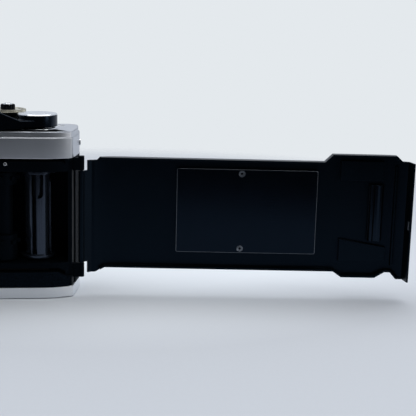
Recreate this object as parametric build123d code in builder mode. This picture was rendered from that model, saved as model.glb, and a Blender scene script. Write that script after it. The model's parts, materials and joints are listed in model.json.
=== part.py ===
from build123d import *
import os

# A 35 mm single-lens reflex camera with a fixed half-frame gate, standing on its base with the
# back door open.  +X is to the user's right, +Y is along the lens axis out of the lens, +Z is up.
# The origin is the mouth of the tripod socket.  All sizes are in millimetres.

# ---------------------------------------------------------------- driving dimensions
body_length = 146.0
body_depth = 33.0
base_height = 4.8            # upper edge of the bottom cover
panel_height = 56.7          # covered panel between the bottom cover and the top cover
lower_tier = 9.0             # top cover up to its ledge
upper_tier = 2.5             # ledge up to the deck
tier_inset = 0.6
hump_rise = 17.0
hump_base_width, hump_top_width = 52.0, 27.0
hump_set_in = (0.7, 6.5)     # its back, at the foot and the crown, in front of the body's back
hump_set_back = (1.2, 11.0)  # its front, at the foot and the crown, behind the apron
wall = 0.8                   # sheet thickness of the covers
skin = 0.6                   # leatherette
fit = 0.3                    # general gap between pieces on different bodies
run = 0.06                   # radial clearance of a shaft in its bore

end_flat = 16.0              # the back is flat to this distance from each end
end_bulge = 3.3              # how far the back curves forward at the ends
corner_set_in = 2.5          # rear corner, measured in from the widest point
corner_radius = 1.5
wide_from_back = 17.2        # depth at which the body is widest
front_radius = 6.0
apron_half_width = 29.0
apron_depth = 5.5

axis_height = 38.3           # optical axis above the base
film_from_back = 3.6         # film rails, measured from the back face
flange_focal = 40.5
frame_width = 18.0           # half-frame picture
frame_height = 24.0

hinge_out = 1.05             # hinge axis outside the widest point
hinge_from_back = 6.6
hinge_barrel_radius = 1.3
hinge_pin_radius = 0.6
lug_height = 6.2
lug_thickness = 2.2
lug_bottom = 8.2
door_open_angle = 174.9
door_skin = 0.8
door_leather = 0.5
door_low = 11.9              # lower edge of the door beside the gate
door_flare = 3.3             # how far the door rises into the top cover at the latch end
door_depth = 4.6             # how far the door's rims reach into the body
latch_wall_depth = 10.0
latch_rib_from_end = 9.1
latch_rib_thickness = 0.7
pad_height = 1.4             # raised pads that hold the cassette
plate_width = 62.3
plate_height = 37.8
plate_thickness = 1.2
plate_shift = 1.35           # centre of the pressure plate from the lens axis

chamber_below_axis = 22.9
chamber_above_axis = 17.4
takeup_width = 35.7
takeup_end_wall = 4.7
takeup_front_wall = 6.0
cassette_width = 26.0
cassette_end_wall = 10.5
cassette_front_wall = 5.0
cassette_low = 14.2
cassette_high = 59.7

hub_from_end = 18.0
hub_y = -2.5
hub_radius = 8.6
hub_gap = 1.2                # collar and clearance between the deck and the lever
hub_height = 5.5
spool_radius = 6.0
sprocket_radius = 5.9
sprocket_edge = 1.7          # between the sprocket and the chamber's inner wall
tooth_height = 1.3
dial_gap = 0.26              # between the rims of the speed dial and the lever
dial_set_back = 8.9          # its centre, behind the front
dial_radius = 8.0
dial_height = 7.4
counter_from_end = 10.0
counter_set_back = 7.5
rewind_from_end = 23.5
rewind_y = -1.0
rewind_radius = 11.0

shaft_radius = 3.0           # lever and rewind shafts where they pass the cover
spigot_radius = 1.6          # lower ends of the spool and the sprocket
button_pin_radius = 2.4
counter_shaft_radius = 1.0
release_pin_radius = 1.0
front_pin_radius = 2.2       # self-timer and lens release shafts
window_radius = 3.4
reset_pin_radius = 0.8       # counter reset pin, pressed in by the shut door
reset_pin_out = 1.0
reset_pin_depth = 5.3        # its hole in the body
reset_pin_from_end = 31.0
dial_neck_radius = 4.5
screw_radius = 1.5
screw_x, screw_y = 58.0, 9.0
end_screw_z = 66.5

mount_radius = 30.0
barrel_bore = 24.0
barrel_step = 0.5            # the lens barrel stands out past the mount
lens_length = 38.0
focus_travel = 5.0
filter_radius = 27.5
bush_radius = 2.6            # tapping hole of a 1/4-20 thread
bush_depth = 5.6
bush_face_radius = 5.0
bush_flange_radius = 7.0

# ---------------------------------------------------------------- derived values
half = body_length / 2
cover_line = base_height + panel_height
tier_line = cover_line + lower_tier
deck_height = tier_line + upper_tier
hump_height = deck_height + hump_rise
back_y = -body_depth / 2
front_y = body_depth / 2
apron_y = front_y + apron_depth
film_y = back_y + film_from_back
flange_y = film_y + flange_focal
hinge_x = half + hinge_out
hinge_y = back_y + hinge_from_back
hinge_axis = Axis((hinge_x, hinge_y, 0), (0, 0, 1))
latch_y = back_y + latch_wall_depth
hinge_corner_y = back_y + end_bulge + 0.6
rim_y = back_y + door_depth
door_wall = door_skin + door_leather
door_inner = back_y + door_wall
door_high = cover_line - 0.1
reset_pin_x = half - reset_pin_from_end
reset_pin_z = door_high - 2.2
reset_seat = door_inner + fit + reset_pin_depth
lug_top = cover_line + 0.7
latch_rib_x = -half + latch_rib_from_end
chamber_low = axis_height - chamber_below_axis
chamber_high = axis_height + chamber_above_axis
takeup_right = half - takeup_end_wall
takeup_left = takeup_right - takeup_width
cassette_left = -half + cassette_end_wall
cassette_right = cassette_left + cassette_width
upper_pad = (cassette_left + 3.5, cassette_right - 3.5)
upper_pad_low, upper_pad_high = cassette_high - 6.5, cover_line + 0.4
hub_x = half - hub_from_end
hub_low = deck_height + hub_gap
hub_high = hub_low + hub_height
sprocket_x = takeup_left + sprocket_edge + sprocket_radius
sprocket_y = film_y + sprocket_radius
dial_y = front_y - dial_set_back
dial_x = hub_x - ((hub_radius + dial_radius + dial_gap) ** 2 - (dial_y - hub_y) ** 2) ** 0.5
counter_y = front_y - counter_set_back
dial_high = deck_height + dial_height
counter_x = half - counter_from_end
rewind_x = -half + rewind_from_end
barrel_radius = mount_radius + barrel_step

os.makedirs("parts", exist_ok=True)


def save(part, name):
    part.label = name
    export_step(part, f"parts/{name}.step")


def open_door(part):
    """A door piece is modelled shut and turned about the hinge to its open place."""
    return part.rotate(hinge_axis, door_open_angle)


def level(z, x=0.0, y=0.0):
    return Plane(origin=(x, y, z))


def facing(y, x=0.0, z=0.0):
    """A plane at depth y whose sketch axes are X and Z; extruding goes towards the back."""
    return Plane(origin=(x, y, z), x_dir=(1, 0, 0), z_dir=(0, -1, 0))


def outline(inset=0.0, apron=True):
    """Plan of the camera, with its gently wrapped rear ends and the apron under the mount."""
    with BuildSketch() as plan:
        with BuildLine():
            flat = (half - end_flat, back_y)
            corner = (half - corner_set_in, back_y + end_bulge)
            widest = (half, back_y + wide_from_back)
            shoulder = (half, front_y - front_radius)
            Line((0, back_y), flat)
            TangentArc(flat, corner, tangent=(1, 0))
            Line(corner, widest)
            Line(widest, shoulder)
            TangentArc(shoulder, (half - front_radius, front_y), tangent=(0, 1))
            Line((half - front_radius, front_y), (0, front_y))
            mirror(about=Plane.YZ)
        make_face()
        rear = plan.vertices().filter_by(lambda v: abs(v.Y - back_y - end_bulge) < 0.01)
        fillet(rear, corner_radius)
        if apron:
            with Locations((0, apron_y / 2)):
                Rectangle(2 * apron_half_width, apron_y)
            front = plan.vertices().filter_by(lambda v: abs(v.Y - apron_y) < 0.01)
            fillet(front, apron_depth * 0.6)
        if inset:
            offset(amount=-inset, kind=Kind.INTERSECTION, mode=Mode.REPLACE)
    return plan.sketch


def door_profile(grow=0.0):
    """The door seen square on: taller at the latch end, notched below, stepped at the hinge."""
    top_flare, low_flare, end_low = door_high + door_flare + 0.1, 9.3, 8.9
    notch_high, end_high, hinge_low = door_low + 0.1, door_high + 0.9, 9.6
    end, hinge_step = -half, door_high - 1.3
    points = [
        (half - 9, door_low), (end + 34.8, door_low), (end + 31, low_flare), (end + 16, low_flare),
        (end + 11.5, notch_high), (latch_rib_x, notch_high), (end + 6.4, end_low), (end - 1, end_low),
        (end - 1, end_high), (end + 6.1, end_high), (end + 8.8, top_flare), (end + 37, top_flare),
        (end + 40.5, door_high), (half - 6.7, door_high), (half - 5.4, hinge_step),
        (hinge_x + 3, hinge_step), (hinge_x + 3, hinge_low), (half - 5, hinge_low),
    ]
    with BuildSketch() as profile:
        with BuildLine():
            Polyline(*points, close=True)
        make_face()
        if grow:
            offset(amount=grow, kind=Kind.INTERSECTION, mode=Mode.REPLACE)
    return profile.sketch


def door_zone(clear=0.0):
    """Plan area that the door wraps: the back, the corner at the hinge, the latch end."""
    with BuildSketch() as zone:
        with BuildLine():
            Polyline(
                (-half - 9, back_y - 9), (-half - 9, latch_y + clear), (-half + 43, latch_y + clear),
                (-half + 43, hinge_corner_y + clear), (half + 9, hinge_corner_y + clear),
                (half + 9, back_y - 9), close=True)
        make_face()
    return zone.sketch


def door_space(clear):
    """What the shut door sweeps out of the body: its skin and its rims, with a gap."""
    with BuildPart() as space:
        with BuildSketch(level(base_height)):
            add(outline(-1.0, apron=False))
            add(outline(door_wall + clear, apron=False), mode=Mode.SUBTRACT)
            add(door_zone(clear), mode=Mode.INTERSECT)
        extrude(amount=cover_line)
        with BuildSketch(facing(front_y)):
            add(door_profile(clear))
        extrude(amount=2 * body_depth, mode=Mode.INTERSECT)
        with BuildSketch(facing(rim_y + clear)):
            add(door_profile(clear))
            add(door_profile(-door_skin - clear), mode=Mode.SUBTRACT)
            with Locations((-6, axis_height)):
                Rectangle(body_length, body_length, mode=Mode.INTERSECT)
        extrude(amount=door_depth + 3)
    return space.part


def box_between(x0, x1, y0, y1, z0, z1):
    """A private block given by its limits, used to add or cut rectangular features."""
    size = (x1 - x0, y1 - y0, z1 - z0)
    middle = ((x0 + x1) / 2, (y0 + y1) / 2, (z0 + z1) / 2)
    return Pos(*middle) * Box(*size, mode=Mode.PRIVATE)


# ---------------------------------------------------------------- body casting and covers
shut_door_space = door_space(fit)
mirror_half_width = 15.0
box_half = mirror_half_width + 2
mirror_box_low = axis_height - 15.8
mirror_box_high = axis_height + 16.9
battery_x, battery_radius, battery_boss = 24.0, 9.0, 7.8
release_x, release_z, release_radius = -35.0, 30.0, 3.2
timer_x, timer_z = 45.0, 36.0
lug_root = half - 3.8
lug_spans = [(lug_top - lug_height, cover_line - 0.1), (lug_bottom, lug_bottom + lug_height)]
lug_near, lug_far = hinge_y - lug_thickness / 2, hinge_y + lug_thickness / 2
plate_pocket = [(plate_shift - plate_width / 2 - fit, plate_shift + plate_width / 2 + fit),
                (axis_height - plate_height / 2 - fit, axis_height + plate_height / 2 + fit)]
latch_slot_x = latch_rib_x - 3.1
latch_slot_low = axis_height - 8.3

with BuildPart() as casting:
    with BuildSketch(level(wall)):
        add(outline(wall + 0.1))
    extrude(amount=base_height - wall)
    with BuildSketch(level(base_height)):
        add(outline(skin))
    extrude(amount=cover_line - base_height)
    add(box_between(-half + 13, -half + 40, back_y + 2.2, back_y + 6,
                    cover_line - 1, door_high + door_flare + 0.9))
    add(box_between(takeup_left, takeup_right, back_y - 1, front_y - takeup_front_wall,
                    chamber_low, chamber_high), mode=Mode.SUBTRACT)
    add(box_between(cassette_left, cassette_right, back_y - 1, front_y - cassette_front_wall,
                    cassette_low, cassette_high), mode=Mode.SUBTRACT)
    add(box_between(cassette_right - 1, takeup_left + 1, back_y - 1, film_y + 1.2,
                    chamber_low, chamber_high), mode=Mode.SUBTRACT)
    add(box_between(*plate_pocket[0], back_y - 1, film_y, *plate_pocket[1]), mode=Mode.SUBTRACT)
    add(box_between(-box_half, box_half, film_y, apron_y + 1,
                    mirror_box_low - 1, cover_line + 1), mode=Mode.SUBTRACT)
    add(shut_door_space, mode=Mode.SUBTRACT)
    add(box_between(latch_rib_x - latch_rib_thickness - fit, latch_rib_x + fit, back_y, rim_y + fit,
                    cassette_low + 0.8 - fit, cassette_high + 0.3 + fit), mode=Mode.SUBTRACT)
    add(box_between(upper_pad[0] - fit, upper_pad[1] + fit, back_y, door_inner + pad_height + fit,
                    cassette_high - 1, upper_pad_high + fit), mode=Mode.SUBTRACT)
    with BuildSketch(level(chamber_high - 1)):
        with Locations((hub_x, hub_y), (rewind_x, rewind_y)):
            Circle(shaft_radius + run)
        with Locations((sprocket_x, sprocket_y)):
            Circle(spigot_radius + run)
    extrude(amount=cover_line, mode=Mode.SUBTRACT)
    with BuildSketch(level(0)):
        Circle(bush_flange_radius)
    extrude(amount=bush_depth + 2, mode=Mode.SUBTRACT)
    with BuildSketch(level(chamber_low - 4)):
        with Locations((hub_x, hub_y), (sprocket_x, sprocket_y)):
            Circle(spigot_radius + run)
    extrude(amount=4.5, mode=Mode.SUBTRACT)
    add(box_between(-half, latch_slot_x, latch_y - 4.7, latch_y - 0.5,
                    latch_slot_low, cover_line + 1), mode=Mode.SUBTRACT)
    add(box_between(-13, 13, film_y, film_y + 5, 12, mirror_box_low), mode=Mode.SUBTRACT)
    for low, high in lug_spans:
        add(box_between(lug_root, half + 2, lug_near, lug_far, low, high), mode=Mode.SUBTRACT)
    with BuildSketch(level(wall - 1)):
        with Locations((battery_x, 0)):
            Circle(battery_boss + 0.2)
        with Locations((sprocket_x, sprocket_y)):
            Circle(button_pin_radius + run)
    extrude(amount=6, mode=Mode.SUBTRACT)
    with BuildSketch(level(cover_line - 4)):
        with Locations((counter_x, counter_y)):
            Circle(counter_shaft_radius + run)
        with Locations((dial_x, dial_y)):
            Circle(release_pin_radius + run)
    extrude(amount=5, mode=Mode.SUBTRACT)
    with BuildSketch(facing(front_y + 1)):
        with Locations((release_x, release_z), (timer_x, timer_z)):
            Circle(front_pin_radius + run)
    extrude(amount=takeup_front_wall, mode=Mode.SUBTRACT)
    with BuildSketch(facing(reset_seat)):
        with Locations((reset_pin_x, reset_pin_z)):
            Circle(reset_pin_radius + run)
    extrude(amount=reset_pin_depth + 1, mode=Mode.SUBTRACT)
save(casting.part, "body_casting")

with BuildPart() as counter_reset_pin:
    with BuildSketch(facing(reset_seat - reset_pin_out - fit)):
        with Locations((reset_pin_x, reset_pin_z)):
            Circle(reset_pin_radius)
    extrude(amount=reset_pin_depth - fit)
    chamfer(counter_reset_pin.faces().sort_by(Axis.Y)[0].edges(), 0.15)
save(counter_reset_pin.part, "counter_reset_pin")

with BuildPart() as covering:
    with BuildSketch(level(base_height)):
        add(outline(0.05))
        add(outline(skin), mode=Mode.SUBTRACT)
    extrude(amount=cover_line - base_height)
    add(shut_door_space, mode=Mode.SUBTRACT)
    with BuildSketch(facing(apron_y + 1, z=axis_height)):
        Circle(mount_radius + 0.4)
    extrude(amount=apron_depth + 4, mode=Mode.SUBTRACT)
    with BuildSketch(facing(front_y + 1)):
        with Locations((release_x, release_z)):
            Circle(release_radius + 0.2)
        with Locations((timer_x, timer_z)):
            Circle(front_pin_radius + run)
    extrude(amount=3, mode=Mode.SUBTRACT)
    add(box_between(lug_root - 0.2, half + 1, back_y, hinge_y + 2.4, base_height, cover_line),
        mode=Mode.SUBTRACT)
    add(box_between(half - 7.5, half + 1, back_y, hinge_y, door_high - 1.7, cover_line),
        mode=Mode.SUBTRACT)
save(covering.part, "leatherette")

with BuildPart() as bottom_cover:
    with BuildSketch():
        add(outline())
    extrude(amount=base_height)
    with BuildSketch(level(wall)):
        add(outline(wall))
    extrude(amount=base_height, mode=Mode.SUBTRACT)
    with BuildSketch(level(-1)):
        Circle(bush_face_radius)
        with Locations((battery_x, 0)):
            Circle(battery_radius + run)
        with Locations((sprocket_x, sprocket_y)):
            Circle(button_pin_radius + run)
        with Locations(*[(x, y) for x in (-screw_x, screw_x) for y in (-screw_y, screw_y)]):
            Circle(screw_radius + 0.1)
    extrude(amount=wall + 2, mode=Mode.SUBTRACT)
    fillet(bottom_cover.faces().sort_by(Axis.Z)[0].outer_wire().edges(), 0.5)
save(bottom_cover.part, "bottom_cover")


eye_z = deck_height + 5.5
eyepiece_width, eyepiece_height = 13.0, 7.0
eyepiece_front = back_y + 8.5
hump_back = [back_y + depth for depth in hump_set_in]
hump_front = [apron_y - depth for depth in hump_set_back]


def hump(inset):
    """The pentaprism housing on the top cover, or its inside when inset."""
    with BuildPart() as shape:
        with BuildSketch(level(deck_height - 3 * wall)):
            with Locations((0, (hump_back[0] + hump_front[0]) / 2)):
                RectangleRounded(hump_base_width - 2 * inset,
                                 hump_front[0] - hump_back[0] - 2 * inset, 3)
        with BuildSketch(level(hump_height - inset)):
            with Locations((0, (hump_back[1] + hump_front[1]) / 2)):
                RectangleRounded(hump_top_width - 2 * inset,
                                 hump_front[1] - hump_back[1] - 2 * inset, 3)
        loft()
    return shape.part


with BuildPart() as top_cover:
    with BuildSketch(level(cover_line)):
        add(outline())
    extrude(amount=tier_line - cover_line)
    with BuildSketch(level(tier_line)):
        add(outline(tier_inset))
    extrude(amount=deck_height - tier_line)
    chamfer(top_cover.faces().sort_by(Axis.Z)[-1].outer_wire().edges(), 0.35)
    add(hump(0))
    with BuildSketch(level(cover_line - 1)):
        add(outline(tier_inset + wall))
    extrude(amount=deck_height - wall - cover_line + 1, mode=Mode.SUBTRACT)
    add(hump(wall), mode=Mode.SUBTRACT)
    with BuildSketch(level(deck_height - 2)):
        with Locations((hub_x, hub_y), (rewind_x, rewind_y)):
            Circle(shaft_radius + run)
        with Locations((dial_x, dial_y)):
            Circle(dial_neck_radius + run)
        with Locations((counter_x, counter_y)):
            Circle(window_radius)
    extrude(amount=4, mode=Mode.SUBTRACT)
    add(box_between(-eyepiece_width / 2 - 2, eyepiece_width / 2 + 2, back_y - 2, eyepiece_front + 3,
                    eye_z - eyepiece_height / 2 - 0.9, eye_z + eyepiece_height / 2 + 0.9),
        mode=Mode.SUBTRACT)
    with BuildPart(mode=Mode.PRIVATE) as flare_notch:
        with BuildSketch(facing(latch_y + fit)):
            add(door_profile(fit))
            with Locations((-half / 2 - 10, axis_height)):
                Rectangle(half, 2 * body_length, mode=Mode.INTERSECT)
        extrude(amount=body_depth)
        with BuildSketch(level(cover_line - 1)):
            add(door_zone(fit))
        extrude(amount=9, mode=Mode.INTERSECT)
    add(flare_notch.part, mode=Mode.SUBTRACT)
    with BuildSketch(facing(apron_y + 1, z=axis_height)):
        Circle(barrel_bore + 3)
    extrude(amount=2.5, mode=Mode.SUBTRACT)
save(top_cover.part, "top_cover")

# ---------------------------------------------------------------- film gate, mirror box, finder
rail_gap = frame_height / 2 + 0.8
with BuildPart() as film_gate:
    add(box_between(cassette_right + 0.4, takeup_left - 0.2, film_y + 0.3, film_y + 1.2,
                    chamber_low, chamber_high))
    for side in (-1, 1):
        for inner, outer, depth in ((0, 2.0, 0.15), (3.2, 4.5, 0)):
            near = axis_height + side * (rail_gap + inner)
            far = axis_height + side * (rail_gap + outer)
            add(box_between(cassette_right + 0.4, takeup_left - 0.2, film_y + depth, film_y + 0.3,
                            min(near, far), max(near, far)))
    add(box_between(-frame_width / 2, frame_width / 2, film_y - 1, film_y + 2,
                    axis_height - frame_height / 2, axis_height + frame_height / 2),
        mode=Mode.SUBTRACT)
save(film_gate.part, "film_gate")

mirror_box_back = film_y + 5.0
box_wall = 1.5
mirror_pin_radius = 0.8
mirror_axis_y = mirror_box_back + 3.0
mirror_axis_z = axis_height + 14.7
with BuildPart() as mirror_box:
    add(box_between(-box_half, box_half, mirror_box_back, apron_y - skin,
                    mirror_box_low - 1, cover_line - 0.2))
    add(box_between(-box_half + box_wall, box_half - box_wall, mirror_box_back + 1.2, apron_y + 1,
                    mirror_box_low + 0.5, cover_line + 1), mode=Mode.SUBTRACT)
    add(box_between(-12, 12, mirror_box_back - 1, mirror_box_back + 2,
                    axis_height - 14, axis_height + 14), mode=Mode.SUBTRACT)
    with BuildSketch(Plane.YZ.offset(-box_half - 1)):
        with Locations((mirror_axis_y, mirror_axis_z)):
            Circle(mirror_pin_radius + run)
    extrude(amount=2 * box_half + 2, mode=Mode.SUBTRACT)
save(mirror_box.part, "mirror_box")

mirror_length = 28.0
mirror_tilt = 45.0
mirror_axis = Axis((0, mirror_axis_y, mirror_axis_z), (1, 0, 0))
with BuildPart() as mirror_frame:
    with BuildSketch(Plane.YZ.offset(-box_half + 0.2)):
        with Locations((mirror_axis_y, mirror_axis_z)):
            Circle(mirror_pin_radius)
    extrude(amount=2 * box_half - 0.4)
    add(box_between(-12, 12, mirror_axis_y, mirror_axis_y + mirror_length,
                    mirror_axis_z - 0.7, mirror_axis_z + 0.2))
save(mirror_frame.part.rotate(mirror_axis, -mirror_tilt), "mirror_frame")

with BuildPart() as reflex_mirror:
    add(box_between(-13, 13, mirror_axis_y + 1.2, mirror_axis_y + mirror_length + 0.5,
                    mirror_axis_z + 0.2, mirror_axis_z + 1.2))
save(reflex_mirror.part.rotate(mirror_axis, -mirror_tilt), "reflex_mirror")

with BuildPart() as focusing_screen:
    add(box_between(-box_half + box_wall, box_half - box_wall, mirror_box_back + 1.2, apron_y - 2,
                    mirror_box_high + 0.8, mirror_box_high + 2.6))
save(focusing_screen.part, "focusing_screen")

prism_base = mirror_box_high + 2.6
prism_top = hump_height - 5.5
prism_back = mirror_box_back + 1.9
prism_front = apron_y - 6.0
with BuildPart() as pentaprism:
    with BuildSketch(Plane.YZ.offset(-12)):
        with BuildLine():
            Polyline((prism_back, prism_base), (prism_front, prism_base),
                     (prism_front, prism_base + 8.2), (prism_front - 9, prism_top),
                     (prism_back + 3, prism_top), (prism_back, prism_top - 3.5), close=True)
        make_face()
    extrude(amount=24)
    chamfer(pentaprism.edges().filter_by(Axis.Y).sort_by(Axis.Z)[-2:], 4)
save(pentaprism.part, "pentaprism")

with BuildPart() as eyepiece_frame:
    with BuildSketch(facing(eyepiece_front, z=eye_z)):
        RectangleRounded(eyepiece_width + 3.6, eyepiece_height + 1.6, 1.5)
    extrude(amount=eyepiece_front - back_y + 1.0)
    with BuildSketch(facing(back_y - 0.4, z=eye_z)):
        RectangleRounded(eyepiece_width + 7, eyepiece_height + 4.4, 2)
    extrude(amount=2.0)
    with BuildSketch(facing(eyepiece_front + 3, z=eye_z)):
        RectangleRounded(eyepiece_width, eyepiece_height, 1)
    extrude(amount=20, mode=Mode.SUBTRACT)
save(eyepiece_frame.part, "eyepiece_frame")

with BuildPart() as eyepiece_glass:
    with BuildSketch(facing(back_y + 4, z=eye_z)):
        RectangleRounded(eyepiece_width, eyepiece_height, 1)
    extrude(amount=2.5)
save(eyepiece_glass.part, "eyepiece_glass")

# ---------------------------------------------------------------- shutter blades
blade_height = 10.0
blade_tops = (axis_height + 13.2, axis_height + 5.2, axis_height - 2.8)
for number, top in enumerate(blade_tops, start=1):
    blade_y = film_y + 1.9 + 0.6 * number
    with BuildPart() as shutter_blade:
        add(box_between(-12.4, 12.4, blade_y, blade_y + 0.3, top - blade_height, top))
    save(shutter_blade.part, f"shutter_blade_{number}")

# ---------------------------------------------------------------- lens
def tube(y_rear, y_front, outer, inner):
    """A plain ring on the optical axis."""
    with BuildPart() as ring:
        with BuildSketch(facing(y_front, z=axis_height)):
            Circle(outer)
            Circle(inner, mode=Mode.SUBTRACT)
        extrude(amount=y_front - y_rear)
    return ring.part


sleeve_radius = barrel_bore + 3.0
lens_end = flange_y + lens_length
with BuildPart() as mount_ring:
    add(tube(apron_y, flange_y, mount_radius, barrel_bore))
    add(tube(apron_y - skin, apron_y, barrel_bore + 2.5, barrel_bore))
    chamfer(mount_ring.faces().sort_by(Axis.Y)[-1].outer_wire().edges(), 0.6)
save(mount_ring.part, "mount_ring")

with BuildPart() as lens_barrel:
    add(tube(flange_y, flange_y + 1.6, barrel_radius - 1.0, barrel_bore))
    add(tube(flange_y + 1.6, flange_y + 27, sleeve_radius, barrel_bore))
    add(tube(flange_y - 4.5, flange_y, barrel_bore - run, barrel_bore - 2))
    add(tube(flange_y - 0.5, flange_y + 0.5, barrel_bore - run, barrel_bore - 2))
    add(tube(flange_y, flange_y + 1.6, barrel_bore, barrel_bore - 2))
save(lens_barrel.part, "lens_barrel")

with BuildPart() as aperture_ring:
    add(tube(flange_y + 1.9, flange_y + 9.5, barrel_radius, sleeve_radius + run))
    chamfer(aperture_ring.faces().sort_by(Axis.Y)[-1].outer_wire().edges(), 0.8)
save(aperture_ring.part, "aperture_ring")

with BuildPart() as focus_ring:
    add(tube(flange_y + 9.8, flange_y + 26.5, barrel_radius + 0.5, sleeve_radius + run))
    ring_faces = focus_ring.faces().sort_by(Axis.Y)
    chamfer(ring_faces[0].outer_wire().edges() + ring_faces[-1].outer_wire().edges(), 0.8)
save(focus_ring.part, "focus_ring")

cell_radius = barrel_bore - run
glass_radius = 19.0
bezel_rear = flange_y + 27.3
bezel_front = lens_end - focus_travel
with BuildPart() as lens_cell:
    add(tube(flange_y + 6, bezel_rear, cell_radius, glass_radius + 1))
    add(tube(bezel_rear, bezel_front, filter_radius + 1.5, filter_radius - 1.8))
    add(tube(bezel_rear, bezel_rear + 1.4, filter_radius, glass_radius))
    add(tube(flange_y + 17, flange_y + 18.5, glass_radius + 1, 14.5))
    add(tube(flange_y + 6, flange_y + 6.6, glass_radius + 1, 13.5))
save(lens_cell.part, "lens_cell")


def element(y_rear, radius, edge, bulge_rear, bulge_front):
    """A ground lens element, turned about the optical axis."""
    y_front = y_rear + edge
    with BuildPart() as glass:
        with BuildSketch(Plane.YZ):
            with BuildLine():
                rim_rear, rim_front = (y_rear, radius), (y_front, radius)
                Line(rim_rear, rim_front)
                ThreePointArc(rim_front, (y_front + bulge_front, 0), (y_front, -radius))
                Line((y_front, -radius), (y_rear, -radius))
                ThreePointArc((y_rear, -radius), (y_rear - bulge_rear, 0), rim_rear)
            make_face()
            with Locations(((y_rear + y_front) / 2, radius)):
                Rectangle(4 * radius, 2 * radius, mode=Mode.INTERSECT)
        revolve(axis=Axis.Y)
    return Pos(0, 0, axis_height) * glass.part


save(element(flange_y + 22, glass_radius + 1, 2.4, 0.4, 3.2), "front_glass")
save(element(flange_y + 8.4, glass_radius + 1, 2.0, 1.3, 0.8), "rear_glass")

blade_count = 5
optical_axis = Axis((0, 0, axis_height), (0, 1, 0))
pivot_ring = 17.4
pivot_angle = 4.0
blade_span = 62.0
for number in range(blade_count):
    turn = 360 / blade_count * number
    blade_rear = flange_y + 11.4 + 0.6 * number
    with BuildPart() as iris_blade:
        with BuildSketch(facing(blade_rear + 0.2, z=axis_height)):
            with BuildLine():
                rim = CenterArc((0, 0), pivot_ring + 1.6, 0, blade_span)
                bore = CenterArc((0, 0), pivot_ring - 3.2, 0, blade_span)
                Line(bore @ 0, rim @ 0)
                Line(bore @ 1, rim @ 1)
            make_face()
            with PolarLocations(pivot_ring, 1, pivot_angle):
                Circle(0.5, mode=Mode.SUBTRACT)
        extrude(amount=0.2)
    save(iris_blade.part.rotate(optical_axis, turn), f"iris_blade_{number + 1}")

# ---------------------------------------------------------------- film advance
with BuildPart() as lever_collar:
    with BuildSketch(level(deck_height)):
        with Locations((hub_x, hub_y)):
            Circle(hub_radius - 0.3)
            Circle(shaft_radius + run, mode=Mode.SUBTRACT)
    extrude(amount=hub_low - fit - deck_height)
    chamfer(lever_collar.faces().sort_by(Axis.Z)[-1].outer_wire().edges(), 0.5)
save(lever_collar.part, "lever_collar")

lever_reach = 34.0
lever_gap = 0.5              # between the deck and the arm's lower edge
lever_tip_high = deck_height + 8.6
cap_height = 0.5
lever_angle = 203.0
lever_plane = Plane(origin=(hub_x, hub_y, 0)).rotated((0, 0, lever_angle))
with BuildPart() as advance_lever:
    with BuildSketch(lever_plane.offset(deck_height + lever_gap)):
        with BuildLine():
            Line((0, hub_radius - 0.1), (lever_reach - 4, 2.6))
            Line((lever_reach - 4, 2.6), (lever_reach, 0.6))
            Line((lever_reach, 0.6), (lever_reach, -2.0))
            ThreePointArc((lever_reach, -2.0), (lever_reach * 0.55, -4.6), (0, -hub_radius + 0.1))
            Line((0, -hub_radius + 0.1), (0, hub_radius - 0.1))
        make_face()
    extrude(amount=lever_tip_high - deck_height - lever_gap)
    with BuildSketch(Plane(origin=(hub_x, hub_y, 0), x_dir=lever_plane.x_dir, z_dir=-lever_plane.y_dir)):
        with BuildLine():
            Polyline((-1, hub_low), (hub_radius + 0.4, hub_low), (hub_radius + 1, deck_height + lever_gap),
                     (lever_reach - 12, deck_height + lever_gap), (lever_reach - 10, hub_low),
                     (lever_reach + 1, hub_low), (lever_reach + 1, lever_tip_high),
                     (lever_reach - 14, lever_tip_high), (hub_radius + 1.4, hub_low + 3),
                     (-1, hub_low + 2.6), close=True)
        make_face()
    extrude(amount=2 * hub_radius, both=True, mode=Mode.INTERSECT)
    with BuildSketch(level(hub_low, hub_x, hub_y)):
        Circle(hub_radius)
    extrude(amount=hub_high - cap_height - hub_low)
    with BuildSketch(level(cover_line + 1.2, hub_x, hub_y)):
        Circle(shaft_radius)
    extrude(amount=hub_low - cover_line)
save(advance_lever.part, "advance_lever")

with BuildPart() as lever_cap:
    with BuildSketch(level(hub_high - cap_height, hub_x, hub_y)):
        Circle(hub_radius)
    extrude(amount=cap_height)
    chamfer(lever_cap.faces().sort_by(Axis.Z)[-1].edges(), 0.35)
    with BuildSketch(level(hub_high - cap_height / 2, hub_x, hub_y)):
        with Locations((-3.2, 0), (3.2, 0)):
            Circle(0.8)
    extrude(amount=1, mode=Mode.SUBTRACT)
save(lever_cap.part, "lever_cap")

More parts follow.
